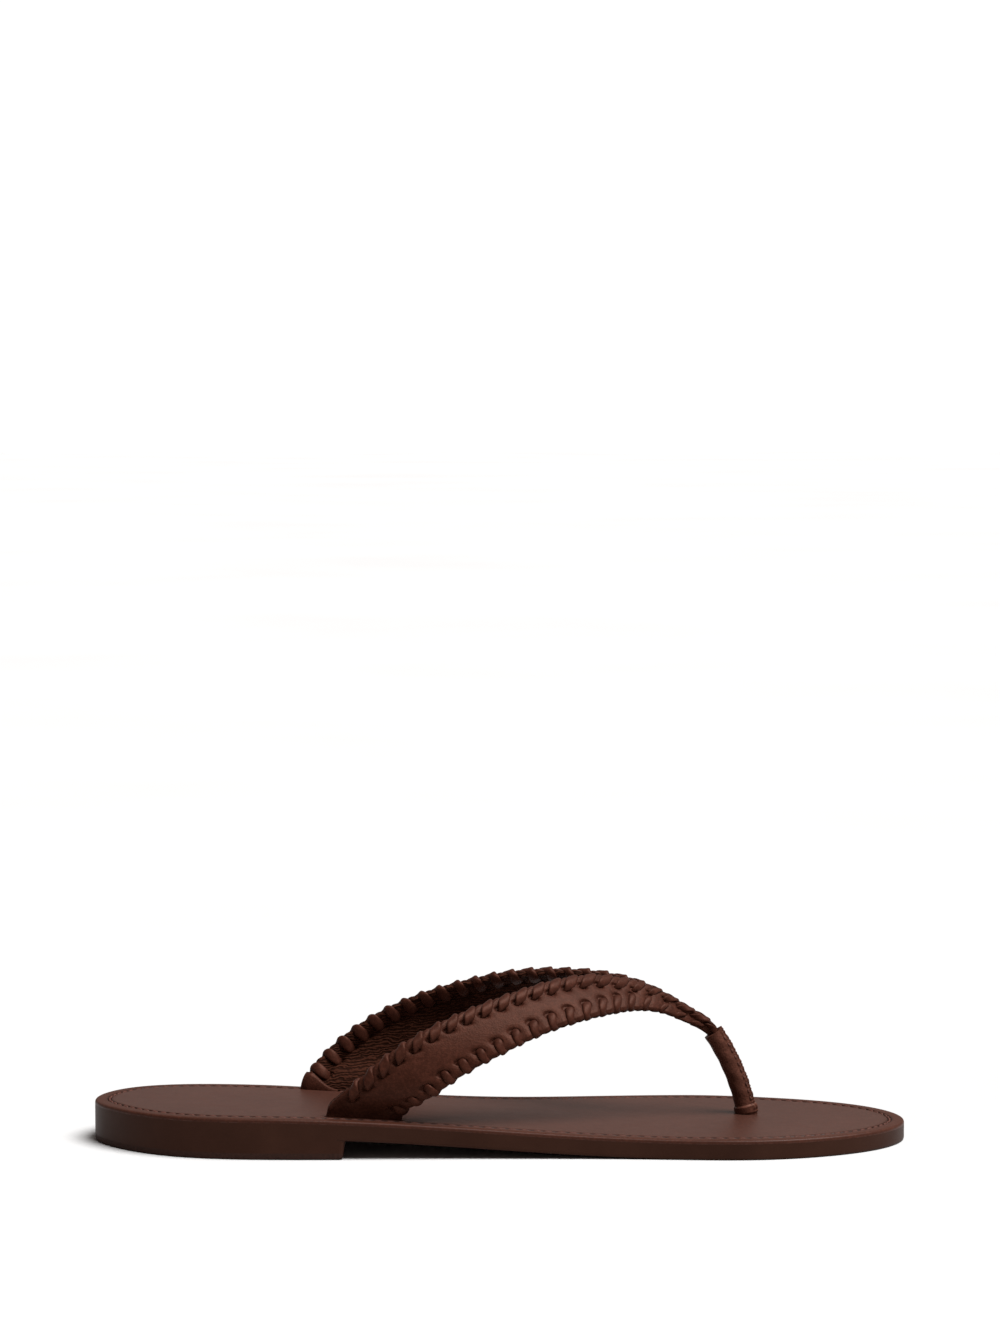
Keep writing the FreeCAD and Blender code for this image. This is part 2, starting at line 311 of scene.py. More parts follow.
def mapping(tree, scale=(1, 1, 1), turn=(0, 0, 0)):
    place = node(tree, "ShaderNodeTexCoord")
    made = node(tree, "ShaderNodeMapping")
    made.inputs["Scale"].default_value = scale
    made.inputs["Rotation"].default_value = turn
    link(tree, place.outputs["Object"], made.inputs["Vector"])
    return made.outputs["Vector"]


def bumped(tree, height, depth, strength=1.0, before=None):
    made = node(tree, "ShaderNodeBump")
    made.inputs["Strength"].default_value = strength
    made.inputs["Distance"].default_value = depth
    link(tree, height, made.inputs["Height"])
    if before is not None:
        link(tree, before, made.inputs["Normal"])
    return made.outputs["Normal"]


def rough_range(tree, factor, low, high):
    made = node(tree, "ShaderNodeMapRange")
    made.inputs["To Min"].default_value = low
    made.inputs["To Max"].default_value = high
    link(tree, factor, made.inputs["Value"])
    return made.outputs["Result"]


def fresh(name):
    material = bpy.data.materials.new(name)
    material.use_nodes = True
    tree = material.node_tree
    return material, tree, tree.nodes["Principled BSDF"]


def leather(name, dark, light, rough=(0.42, 0.58), specular=0.2, tint=(0.65, 0.32, 0.22),
            grain=0.55, depth=0.05, wrinkle=0.0, speckle=0.0, with_painted_light=False, mottle=38.0):
    """Dyed leather: cloudy colour, pebbled grain of `grain` mm, pores, optional wrinkles with painted
    crease shade and ridge highlight, and optional painted shade and highlight from a mesh attribute.
    """
    material, tree, shader = fresh(name)
    place = mapping(tree)
    cloud = noise(tree, place, mottle, detail=6.0, rough=0.6)
    colour = ramp(tree, cloud, dark, light)
    cells = node(tree, "ShaderNodeTexVoronoi", feature="F1")
    cells.inputs["Scale"].default_value = 1.0 / (grain * MM)
    warp = node(tree, "ShaderNodeVectorMath", operation="MULTIPLY_ADD")
    swirl = node(tree, "ShaderNodeTexNoise")
    swirl.inputs["Scale"].default_value = 0.6 / (grain * MM)
    link(tree, place, swirl.inputs["Vector"])
    link(tree, swirl.outputs["Color"], warp.inputs[0])
    warp.inputs[1].default_value = (grain * MM,) * 3
    link(tree, place, warp.inputs[2])
    link(tree, warp.outputs["Vector"], cells.inputs["Vector"])
    pebble = cells.outputs["Distance"]
    pores = noise(tree, place, 2600.0, detail=3.0)
    normal = bumped(tree, pebble, depth * MM, 0.7)
    normal = bumped(tree, pores, 0.02 * MM, 0.6, normal)
    if wrinkle > 0:
        wave = node(tree, "ShaderNodeTexWave", wave_type="BANDS", bands_direction="Z")
        wave.inputs["Scale"].default_value = 330.0
        wave.inputs["Distortion"].default_value = 15.0
        wave.inputs["Detail"].default_value = 3.0
        wave.inputs["Detail Scale"].default_value = 0.9
        wave.inputs["Detail Roughness"].default_value = 0.6
        link(tree, mapping(tree, scale=(0.55, 0.7, 1.0), turn=(0, math.radians(10), 0)),
             wave.inputs["Vector"])
        folds = wave.outputs["Fac"]
        normal = bumped(tree, folds, wrinkle * MM, 1.0, normal)
        # Painted shade in the creases and painted highlight on the ridges of the wrinkles, on top of their
        # bump.
        crease_painted_shade = ramp(tree, folds, (0.5, 0.5, 0.5), (1.45, 1.4, 1.35), 0.2, 0.85)
        crease_shaded_colour = node(tree, "ShaderNodeVectorMath", operation="MULTIPLY")
        link(tree, colour, crease_shaded_colour.inputs[0])
        link(tree, crease_painted_shade, crease_shaded_colour.inputs[1])
        colour = crease_shaded_colour.outputs["Vector"]
    link(tree, normal, shader.inputs["Normal"])
    if speckle > 0:
        dust = ramp(tree, noise(tree, place, 1100.0, detail=2.0), (1 - speckle,) * 3,
                    (1 + 1.5 * speckle,) * 3, 0.42, 0.66)
        dusty = node(tree, "ShaderNodeVectorMath", operation="MULTIPLY")
        link(tree, colour, dusty.inputs[0])
        link(tree, dust, dusty.inputs[1])
        colour = dusty.outputs["Vector"]
    # Painted light: a mesh attribute of painted shade and highlight scales the colour; the gloss attribute
    # sets the specular level.
    if with_painted_light:
        tone = node(tree, "ShaderNodeAttribute", attribute_name="painted_shade_and_highlight")
        painted_light_scale = node(tree, "ShaderNodeVectorMath", operation="SCALE")
        link(tree, colour, painted_light_scale.inputs[0])
        link(tree, tone.outputs["Fac"], painted_light_scale.inputs["Scale"])
        colour = painted_light_scale.outputs["Vector"]
        gloss = node(tree, "ShaderNodeAttribute", attribute_name="gloss")
        shine = rough_range(tree, gloss.outputs["Fac"], 0.05, specular)
        link(tree, shine, shader.inputs["Specular IOR Level"])
    link(tree, colour, shader.inputs["Base Color"])
    scuff = noise(tree, place, 150.0, detail=5.0, rough=0.65)
    link(tree, rough_range(tree, scuff, *rough), shader.inputs["Roughness"])
    if not with_painted_light:
        shader.inputs["Specular IOR Level"].default_value = specular
    shader.inputs["Specular Tint"].default_value = (*tint, 1)
    return material


def thread_material(name, dark, light):
    """Waxed twisted thread."""
    material, tree, shader = fresh(name)
    place = mapping(tree)
    fibres = noise(tree, place, 3200.0, detail=2.0)
    link(tree, ramp(tree, fibres, dark, light), shader.inputs["Base Color"])
    link(tree, bumped(tree, fibres, 0.05 * MM, 0.8), shader.inputs["Normal"])
    shader.inputs["Roughness"].default_value = 0.6
    shader.inputs["Specular IOR Level"].default_value = 0.12
    return material


def rubber_material():
    """Matt wearing rubber with a fine sanded grain."""
    material, tree, shader = fresh("sandal_rubber")
    place = mapping(tree)
    grit = noise(tree, place, 1400.0, detail=3.0)
    tone = ramp(tree, grit, (0.019, 0.0078, 0.0052), (0.031, 0.0125, 0.0085))
    link(tree, tone, shader.inputs["Base Color"])
    link(tree, bumped(tree, grit, 0.05 * MM, 0.6), shader.inputs["Normal"])
    shader.inputs["Roughness"].default_value = 0.7
    shader.inputs["Specular IOR Level"].default_value = 0.1
    return material


footbed_leather = leather("footbed_leather", (0.031, 0.0096, 0.0056), (0.043, 0.0138, 0.0082),
                          rough=(0.38, 0.50), specular=0.34, tint=(1.0, 0.84, 0.8), grain=0.5,
                          depth=0.012, speckle=0.12, mottle=14.0, with_painted_light=True)
edge_leather = leather("sole_edge_paint", (0.024, 0.0094, 0.0060), (0.033, 0.0134, 0.0086),
                       rough=(0.42, 0.55), specular=0.10, tint=(0.8, 0.5, 0.4), grain=0.4,
                       depth=0.015, mottle=60.0)
strap_leather = leather("strap_leather", (0.025, 0.0072, 0.0043), (0.039, 0.0120, 0.0074),
                        rough=(0.44, 0.58), specular=0.18, grain=0.5, depth=0.07, speckle=0.16,
                        mottle=160.0)
sleeve_leather = leather("sleeve_leather", (0.050, 0.0172, 0.0112), (0.074, 0.0272, 0.0182),
                         rough=(0.40, 0.54), specular=0.25, grain=0.6, depth=0.08, speckle=0.15,
                         mottle=300.0)
lining_leather = leather("strap_lining", (0.020, 0.0065, 0.0038), (0.031, 0.0108, 0.0066),
                         rough=(0.62, 0.78), specular=0.06, grain=0.8, depth=0.06,
                         wrinkle=0.20, mottle=90.0)
lace_leather = leather("lace_leather", (0.025, 0.0072, 0.0043), (0.042, 0.0130, 0.0081),
                       rough=(0.42, 0.56), specular=0.18, grain=0.4, depth=0.03, speckle=0.15,
                       mottle=260.0)
thread_brown = thread_material("seam_thread", (0.035, 0.012, 0.008), (0.100, 0.038, 0.028))
tape_cloth = thread_material("strap_tape_cloth", (0.07, 0.055, 0.045), (0.13, 0.11, 0.09))
rubber = rubber_material()


# ---- sole ------------------------------------------------------------------
def top_height(x):
    drop = smooth(SLOPE_START_X, SLOPE_END_X, x)
    return HEEL_SEAT_TOP - (HEEL_SEAT_TOP - FOREFOOT_TOP) * drop


def outline_table():
    """Even places along the outline with the direction that points into the sole."""
    points = np.array(OUTLINE + OUTLINE[:1])
    knots = lengths(points)
    fine = spline(points, knots, np.linspace(0, knots[-1], 8000), closed=True)
    run = lengths(fine)
    even = np.linspace(0, run[-1], RIM_SAMPLES, endpoint=False)
    places = sample(fine, even, run)
    along = unit(np.roll(places, -1, axis=0) - np.roll(places, 1, axis=0))
    inward = np.stack([along[:, 1], -along[:, 0]], axis=1)
    return places, inward, even, run[-1]


RIM, INWARD, RIM_RUN, RIM_LENGTH = outline_table()


def rim_ring(inset, depth, square_heel=False):
    """A ring inside the outline, a depth under the footbed's surface. Over a square heel, where
    the sole's lower edge meets the heel block, the ring has no inset and its full depth."""
    free = smooth(BREAST_TOP_X - 2.0, BREAST_TOP_X + 1.0, RIM[:, :1]) if square_heel else 1.0
    flat = RIM + INWARD * inset * free
    depths = SOLE_THICK - (SOLE_THICK - depth) * free if square_heel and inset > 0 else depth
    return np.column_stack([flat, top_height(flat[:, 0]) - np.ravel(depths)])


def inside(points, polygon):
    """Which of the points lie inside a closed polygon."""
    x, y = points[:, 0][:, None], points[:, 1][:, None]
    x1, y1 = polygon[:, 0], polygon[:, 1]
    x2, y2 = np.roll(x1, -1), np.roll(y1, -1)
    crosses = (y1 > y) != (y2 > y)
    with np.errstate(divide="ignore", invalid="ignore"):
        reach = (x2 - x1) * (y - y1) / (y2 - y1) + x1
    return (crosses & (x < reach)).sum(axis=1) % 2 == 1


def fill(builder, ring, holes, height, spacing=3.0, flip=False):
    """Triangles between a ring and the holes in it, at height(x, y)."""
    low, high = ring.min(0), ring.max(0)
    xs = np.arange(low[0] + spacing / 2, high[0], spacing)
    ys = np.arange(low[1] + spacing / 2, high[1], spacing)
    field = np.array([(x, y) for x in xs for y in ys])
    keep = inside(field, ring[:, :2])
    gaps = np.min(np.linalg.norm(field[:, None] - ring[None, ::4, :2], axis=2), axis=1)
    keep &= gaps > spacing * 0.45
    for hole in holes:
        away = np.min(np.linalg.norm(field[:, None] - hole[None, :, :2], axis=2), axis=1)
        keep &= ~inside(field, hole[:, :2]) & (away > spacing * 0.3)
    loops = [ring[:, :2]] + [hole[:, :2] for hole in holes]
    points = [tuple(p) for loop in loops for p in loop]
    edges = []
    start = 0
    for loop in loops:
        edges += [(start + i, start + (i + 1) % len(loop)) for i in range(len(loop))]
        start += len(loop)
    points += [tuple(p) for p in field[keep]]
    verts, _, faces, *_ = delaunay_2d_cdt(points, edges, [], 1, 1e-6)
    flat = np.array([tuple(v) for v in verts])
    middles = np.array([flat[list(f)].mean(axis=0) for f in faces])
    wanted = np.ones(len(faces), bool)
    for hole in holes:
        wanted &= ~inside(middles, hole[:, :2])
    base = builder.add(np.column_stack([flat, height(flat[:, 0], flat[:, 1])]))
    for face, good in zip(faces, wanted):
        if good:
            ids = [base + i for i in face]
            builder.faces.append(ids[::-1] if flip else ids)


def capsule(a, b, half, count=12):
    """A closed loop in plan, a distance half round the line from a to b."""
    along = unit(b - a)
    side = np.array([-along[1], along[0]])
    angles = np.linspace(-math.pi / 2, math.pi / 2, count)
    front = [b + half * (math.cos(t) * along + math.sin(t) * side) for t in angles]
    back = [a - half * (math.cos(t) * along + math.sin(t) * side) for t in angles]
    straight = max(2, int(np.linalg.norm(b - a) / 2))
    loop = []
    for arc, other in ((front, back), (back, front)):
        loop += arc
        span = np.linspace(0, 1, straight + 1)[1:-1, None]
        loop += list(arc[-1] * (1 - span) + other[0] * span)
    return np.array(loop)


def strap_slot(rear, front, grow):
    """The slot in the footbed that a strap's two leathers go down through."""
    a, b = np.array(rear[1][:2]), np.array(front[1][:2])
    along = unit(b - a)
    half = HALF_TAPE + LEATHER_THICK + grow
    return capsule(a + along * (EDGE_INSET + 0.6), b - along * (EDGE_INSET + 0.6), half)


def post_hole(grow):
    angles = np.linspace(0, 2 * math.pi, 48, endpoint=False)
    radius = POST_RADIUS + grow
    centre = np.array([POST_PATH[0][0], POST_Y])
    return centre + radius * np.stack([np.cos(angles), np.sin(angles)], axis=1)


def footbed_holes(grow):
    return [
        strap_slot(LATERAL_REAR, LATERAL_FRONT, grow),
        strap_slot(MEDIAL_REAR, MEDIAL_FRONT, grow),
        post_hole(grow),
    ]


def surface(depth):
    return lambda x, y: top_height(x) - depth


def level_at(height):
    return lambda x, y: np.full(len(x), height)


def at_depth(loop, depth):
    return np.column_stack([loop, top_height(loop[:, 0]) - depth])


def make_footbed_cover():
    """Top leather: rounded rim, sunk stitch groove, dimpled needle holes, slots and post hole. Its colour
    carries painted shade in the groove and dimples and a painted highlight on the margin.
    """
    builder = Builder()
    # Inset from the outline and depth below the surface: rim, margin, groove and field.
    rows = [
        (0.0, COVER_THICK), (0.0, 0.95), (0.02, 0.7), (0.10, 0.42), (0.26, 0.2), (0.5, 0.06),
        (0.85, 0.0), (1.6, -0.05), (2.6, -0.05), (3.3, -0.02), (3.7, 0.0), (3.86, 0.06),
        (3.98, 0.24), (4.1, 0.42), (4.5, 0.52), (4.9, 0.42), (5.02, 0.24), (5.14, 0.06),
        (5.4, 0.0), (5.8, 0.0), (6.6, 0.0),
    ]
    needle = np.abs(((RIM_RUN / SEAM_PITCH) % 1.0) - 0.5) * SEAM_PITCH
    rings = []
    painted_light_tones = []
    shine = []
    for inset, depth in rows:
        ring = rim_ring(inset, depth)
        near = bump(np.hypot(needle, inset - SEAM_INSET), 1.1)
        ring[:, 2] -= NEEDLE_DIMPLE * near
        rings.append(ring)
        # Painted light: the colour gets painted shade in the stitch groove and needle dimples and a
        # painted highlight on the margin inside the rim.
        groove = bump(abs(inset - SEAM_INSET), 1.3)
        painted_light_tones.append(1.0 + 0.08 * bump(abs(inset - 2.0), 2.2) - groove - 0.1 * near)
        shine.append(np.full(len(ring), 0.25 + 0.75 * smooth(5.0, 6.6, inset)))
    rings = np.array(rings)
    builder.grid(rings, closed_v=True)
    lips = [at_depth(loop, 0.0) for loop in footbed_holes(0.95)]
    edges = [at_depth(loop, 0.22) for loop in footbed_holes(0.35)]
    floors = [at_depth(loop, COVER_THICK) for loop in footbed_holes(0.3)]
    fill(builder, rings[-1], lips, surface(0.0))
    fill(builder, rings[0], floors, surface(COVER_THICK), spacing=8.0, flip=True)
    for loops in zip(lips, edges, floors):
        builder.grid(np.array(loops), closed_v=True)
    return builder.make("footbed_cover_leather", footbed_leather, ["footbed_cover"],
                        layers=[("painted_shade_and_highlight", np.ravel(painted_light_tones)), ("gloss", np.ravel(shine))])


def make_layer(name, rows, holes_at, material, nodes, square_heel=False):
    """A layer of the sole from its bottom rim (first row) to its top rim (last row)."""
    builder = Builder()
    rings = np.array([rim_ring(*row, square_heel) for row in rows])
    builder.grid(rings, closed_v=True)
    low, high = rows[0][1], rows[-1][1]
    bottoms = [at_depth(loop, low) for loop in holes_at]
    tops = [at_depth(loop, high) for loop in holes_at]
    fill(builder, rings[-1], tops, surface(high), spacing=8.0)
    fill(builder, rings[0], bottoms, surface(low), spacing=8.0, flip=True)
    for loops in zip(tops, bottoms):
        builder.grid(np.array(loops), closed_v=True)
    return builder.make(name, material, nodes)


def make_sole_layers():
    board = [(0.0, BOARD_DEPTH), (0.0, 2.0), (0.0, COVER_THICK)]
    middle = [(0.0, MIDSOLE_DEPTH), (0.0, 3.4), (0.0, BOARD_DEPTH)]
    under = [
        (0.9, SOLE_THICK), (0.5, SOLE_THICK - 0.06), (0.22, SOLE_THICK - 0.2),
        (0.06, SOLE_THICK - 0.42), (0.0, SOLE_THICK - 0.7), (0.0, 4.8), (0.0, MIDSOLE_DEPTH),
    ]
    make_layer("insole_board_layer", board, footbed_holes(0.3), edge_leather,
               ["insole_board"])
    make_layer("midsole_layer", middle, [], edge_leather,
               ["midsole", "shank", "toe_post_anchor"])
    make_layer("outsole_layer", under, [], edge_leather, ["outsole"], True)


def heel_ring(inset, breast_x):
    """A ring round the heel in plan, cut off straight at the breast with small round corners."""
    flat = RIM + INWARD * inset
    start = int(np.argmax((flat[:, 0] < breast_x) & (np.roll(flat[:, 0], 1) >= breast_x)))
    turned = np.roll(flat, -start, axis=0)
    kept = turned[turned[:, 0] < breast_x]
    kept = kept[np.linspace(0, len(kept) - 1, 420).astype(int)]
    a, b = kept[-1].copy(), kept[0].copy()
    a[0] = b[0] = breast_x
    across = unit(b - a)
    reach = np.linalg.norm(b - a)
    line = a + np.linspace(BREAST_CORNER, reach - BREAST_CORNER, 24)[:, None] * across
    kept = kept[kept[:, 0] < breast_x - BREAST_CORNER]
    near = round_corner(kept[-1], a, line[0])
    far = round_corner(line[-1], b, kept[0])
    return np.concatenate([kept, near, line, far])


def round_corner(before, corner, after, count=5):
    t = np.linspace(0, 1, count + 2)[1:-1, None]
    return (1 - t) ** 2 * before + 2 * t * (1 - t) * corner + t * t * after


def make_heel(name, rows, material, nodes):
    """Rows of (inset, height) round the heel, upwards; a row at HEEL_TOP follows the sole."""
    builder = Builder()
    rings = []
    for inset, level in rows:
        lean = BREAST_LEAN * (1 - min(level / HEEL_TOP, 1.0))
        flat = heel_ring(inset, BREAST_TOP_X - lean - inset)
        roof = top_height(flat[:, 0]) - SOLE_THICK
        height = roof if level == HEEL_TOP else np.minimum(level, roof)
        ring = np.column_stack([flat, np.broadcast_to(height, len(flat))])
        rings.append(resample(ring, 480))
    rings = np.array(rings)
    builder.grid(rings, closed_v=True)
    low, high = rows[0][1], rows[-1][1]
    roof = surface(SOLE_THICK) if high == HEEL_TOP else level_at(high)
    fill(builder, rings[-1], [], roof, spacing=8.0)
    fill(builder, rings[0], [], level_at(low), spacing=8.0, flip=True)
    return builder.make(name, material, nodes)


def resample(ring, count):
    loop = np.concatenate([ring, ring[:1]])
    run = lengths(loop)
    return sample(loop, np.linspace(0, run[-1], count, endpoint=False), run)


def make_heels():
    block = [(0.0, TOP_LIFT), (0.0, 3.2), (0.0, 4.6), (0.0, HEEL_TOP)]
    lift = [(0.9, 0.0), (0.5, 0.05), (0.2, 0.2), (0.04, 0.45), (0.0, 0.8), (0.0, 1.4), (0.0, TOP_LIFT)]
    make_heel("heel_block_stack", block, edge_leather, ["heel_block", "heel_nails"])
    make_heel("heel_top_lift_rubber", lift, rubber, ["heel_top_lift"])


def stitch_rings(places, normals, half_width, half_height, twist=0.0, count=8):
    """Rings of a flattened bar along places; it narrows to both ends."""
    along = unit(np.gradient(places, axis=0))
    side = unit(np.cross(along, normals))
    up = np.cross(side, along)
    share = np.linspace(-1, 1, len(places))
    taper = np.sqrt(np.clip(1 - np.abs(share) ** 3.0, 0.02, 1))
    angles = np.linspace(0, 2 * math.pi, count, endpoint=False)
    ring = (np.cos(angles)[None, :, None] * side[:, None] * half_width
            + np.sin(angles)[None, :, None] * up[:, None] * half_height)
    return places[:, None] + ring * taper[:, None, None]


def make_footbed_seam():
    """The lockstitch round the footbed, one thread bar for each stitch."""
    builder = Builder()
    path = RIM + INWARD * SEAM_INSET
    loop = np.concatenate([path, path[:1]])
    run = np.concatenate([RIM_RUN, [RIM_LENGTH]])
    count = int(RIM_LENGTH / SEAM_PITCH)
    for number in range(count):
        middle = number * SEAM_PITCH + random.uniform(-0.12, 0.12)
        reach = SEAM_STITCH / 2 * random.uniform(0.94, 1.05)
        at = np.linspace(middle - reach, middle + reach, 9) % RIM_LENGTH
        flat = sample(loop, at, run)
        flat += random.uniform(-0.08, 0.08)
        bow = np.linspace(-1, 1, 9)
        height = top_height(flat[:, 0]) - SEAM_SINK - SEAM_DIP * bow ** 4
        places = np.column_stack([flat, height])
        up = np.tile([0.0, 0.0, 1.0], (9, 1))
        builder.tube(stitch_rings(places, up, 0.40, 0.30))
    return builder.make("footbed_seam_stitches", thread_brown, ["footbed_seam_thread"])


# ---- toe post's line and the straps' ends in it ----------------------------
def post_arc():
    """Centre, radius and end angles of the arc that the toe post follows, seen from the side."""
    (x1, z1), (x2, z2), (x3, z3) = POST_PATH
    matrix = np.array([[x2 - x1, z2 - z1], [x3 - x1, z3 - z1]]) * 2
    right = np.array([x2 * x2 - x1 * x1 + z2 * z2 - z1 * z1, x3 * x3 - x1 * x1 + z3 * z3 - z1 * z1])
    centre = np.linalg.solve(matrix, right)
    radius = math.hypot(x1 - centre[0], z1 - centre[1])
    start = math.atan2(z1 - centre[1], x1 - centre[0])
    end = math.atan2(z3 - centre[1], x3 - centre[0])
    return centre, radius, start, end


def tip_station(depth, outward):
    """Rear and front corner of a strap's end, a depth below the top of the toe post."""
    centre, radius, _, end = post_arc()
    angle = end - depth / radius
    radial = np.array([math.cos(angle), 0.0, math.sin(angle)])
    middle = np.array([centre[0], POST_Y - TIP_SPREAD * outward, centre[1]]) + radial * radius
    return middle + radial * TIP_HALF_WIDTH, middle - radial * TIP_HALF_WIDTH


# ---- straps ----------------------------------------------------------------
class Strap:
    """A strap's middle surface between its rear and front edges, read at s along it.
    outward is 1 or -1, so that the normals look away from the foot."""

    def __init__(self, side, rear, front, outward):
        self.side = side
        tips = [tip_station(depth, outward) for depth in TIP_DEPTHS]
        laced = len(rear)
        rear = np.array(list(rear) + [tip[0] for tip in tips])
        front = np.array(list(front) + [tip[1] for tip in tips])
        knots = lengths((rear + front) / 2)
        self.laced = knots[laced - 1]
        self.run = np.linspace(0, knots[-1], 1600)
        self.rear = spline(rear, knots, self.run)
        self.front = spline(front, knots, self.run)
        across = self.front - self.rear
        self.width = np.linalg.norm(across, axis=1)
        self.across = across / self.width[:, None]
        along = np.gradient((self.rear + self.front) / 2, axis=0)
        self.normal = unit(np.cross(self.across, along)) * outward
        self.length = knots[-1]
        self.base = knots[1]
        self.size = np.clip(self.width / FULL_WIDTH, 0.42, 1.0)

    def read(self, s):
        """Rear edge, direction across, outward normal, width and thickness share at s."""
        keys = (self.rear, self.across, self.normal)
        parts = [sample(table, s, self.run) for table in keys]
        return parts + [np.interp(s, self.run, self.width), np.interp(s, self.run, self.size)]

    def crown_at(self, s, v):
        """How far the middle of the strap bulges outwards."""
        lift = smooth(self.base, self.base + 14, s) * (1 - smooth(self.length - 34, self.length - 12, s))
        return CROWN * lift * 4 * v * (1 - v)

    def edge_run(self, at_rear):
        """Arc length along one edge, at each of the strap's samples."""
        edge = self.rear if at_rear else self.front
        return lengths(edge)

    def holes(self, at_rear):
        """The lace's holes, evenly spaced: their places along the strap and along its edge."""
        run = self.edge_run(at_rear)
        base = np.interp(self.base, self.run, run)
        end = np.interp(self.laced, self.run, run)
        start = HOLE_START[self.side, at_rear]
        span = end - HOLE_STOP - base - start
        at = base + start + np.linspace(0, span, round(span / LACE_PITCH) + 1)
        return np.interp(at, run, self.run), at


def hole_inset(strap, at_rear, width):
    """How far the lace's holes are from the edge."""
    wanted = MEDIAL_REAR_INSET if strap.side == "medial" and at_rear else HOLE_INSET
    return np.minimum(wanted, 0.42 * width)


def lace_width(strap, at_rear):
    if not at_rear:
        return LACE_FRONT_WIDTH
    return LACE_MEDIAL_WIDTH if strap.side == "medial" else LACE_WIDTH


def lace_lean(strap, at_rear, share):
    """How much of a pitch a turn moves on, on the outer face, at a share of the way to the toe."""
    if not at_rear:
        return -0.18 - 0.32 * share
    return 1.08 if strap.side == "lateral" else 1.42 - 0.34 * share


def lace_scale(width):
    """The lace gets slimmer where the strap narrows."""
    return np.clip(width / FULL_WIDTH, 0.6, 1.0)


def edge_inset(strap, at_rear, s):
    """How far the leather's edge is drawn in at s: little between two turns, more under a turn."""
    _, at = strap.holes(at_rear)
    edge_s = np.interp(s, strap.run, strap.edge_run(at_rear))
    drawn = np.zeros(len(s))
    for number, centre in enumerate(at):
        lean = lace_lean(strap, at_rear, number / (len(at) - 1))
        drawn += bump(np.abs(edge_s - centre - lean * LACE_PITCH), 3.4)
    wave = 0.45 + (0.75 if at_rear else 0.4) * np.clip(drawn, 0, 1)
    laced = smooth(strap.base + 1.0, strap.base + 4.0, s)
    return (0.9 + (wave - 0.9) * laced) * np.interp(s, strap.run, strap.size)


def lace_marks(strap, face, s, a):
    """Over a grid of places on one face: how deep the holes sink, and where the lace presses."""
    _, _, _, width, size = strap.read(s)
    sink = np.zeros_like(a)
    press = np.zeros_like(a)
    for at_rear in (True, False):
        run = strap.edge_run(at_rear)
        edge_s = np.interp(s, strap.run, run)
        from_edge = a if at_rear else width[:, None] - a
        places, _ = strap.holes(at_rear)
        for number, place in enumerate(places):
            lean = lace_lean(strap, at_rear, number / (len(places) - 1))
            shrink = np.interp(place, strap.run, strap.size)
            inset = hole_inset(strap, at_rear, np.interp(place, strap.run, strap.width))
            ds = (edge_s - np.interp(place, strap.run, run))[:, None]
            distance = np.hypot(ds, from_edge - inset)
            radius = HOLE_RADIUS * shrink
            sink += HOLE_SINK * (1 - smooth(radius * 0.72, radius * 1.02, distance)) * size[:, None]
            sink += 0.30 * bump(distance, radius * 2.2) * size[:, None]
            step = (lean if face > 0 else lean - 1) * LACE_PITCH
            along_bar = ds * step + (inset - from_edge) * inset
            t = np.clip(along_bar / (step * step + inset * inset), 0, 1)
            off = np.hypot(ds - t * step, (inset - from_edge) - t * inset)
            press = np.maximum(press, bump(off, PRESS_RADIUS * shrink) * size[:, None])
    return sink, press


def make_leather(strap, name, face, material, nodes, rows=420, columns=72):
    """One leather of a strap as a closed slab; face is 1 for the outer one, -1 for the lining.
    Its visible face is padded along the edges, sunk at the holes and pressed in by the lace."""
    s = np.linspace(0, strap.length, rows)
    turn = np.linspace(0, np.pi, columns)
    v = 0.5 - 0.5 * np.cos(turn) * (0.35 + 0.65 * np.abs(np.cos(turn)) ** 0.3)
    rear, across, normal, width, size = strap.read(s)
    thin = size[:, None]
    start, stop = edge_inset(strap, True, s), edge_inset(strap, False, s)
    a = start[:, None] + (width - start - stop)[:, None] * v[None]
    sink, press = lace_marks(strap, face, s, a)
    depth = strap.crown_at(s[:, None], a / width[:, None])
    edge_gap = np.minimum(a - start[:, None], width[:, None] - stop[:, None] - a)
    laced = smooth(strap.base + 1.0, strap.base + 4.0, s)
    rim = bump(np.clip(edge_gap, 0, None), PAD_REACH) * laced[:, None]
    puff = PAD_RISE * rim * thin * (1 - press / thin) - PRESS_DEPTH * press
    ease = np.sqrt(1 - np.clip(edge_gap / (LEATHER_THICK * thin), 0, 1)) ** 3
    sink = np.minimum(sink, 0.85 * thin)
    seen_height = face * (OUTER_SKIN * thin + puff - sink - EDGE_EASE * ease * thin)
    hidden_height = face * HALF_TAPE * thin
    middle = rear[:, None] + across[:, None] * a[..., None]
    seen = middle + normal[:, None] * (seen_height + depth)[..., None]
    hidden = middle + normal[:, None] * (hidden_height + depth)[..., None]
    builder = Builder()
    builder.grid(np.concatenate([seen, hidden[:, ::-1]], axis=1), closed_v=True)
    builder.grid(np.stack([seen[0], hidden[0]]))
    builder.grid(np.stack([seen[-1], hidden[-1]]))
    return builder.make(name, material, nodes, weld=0.001, sharp=60)


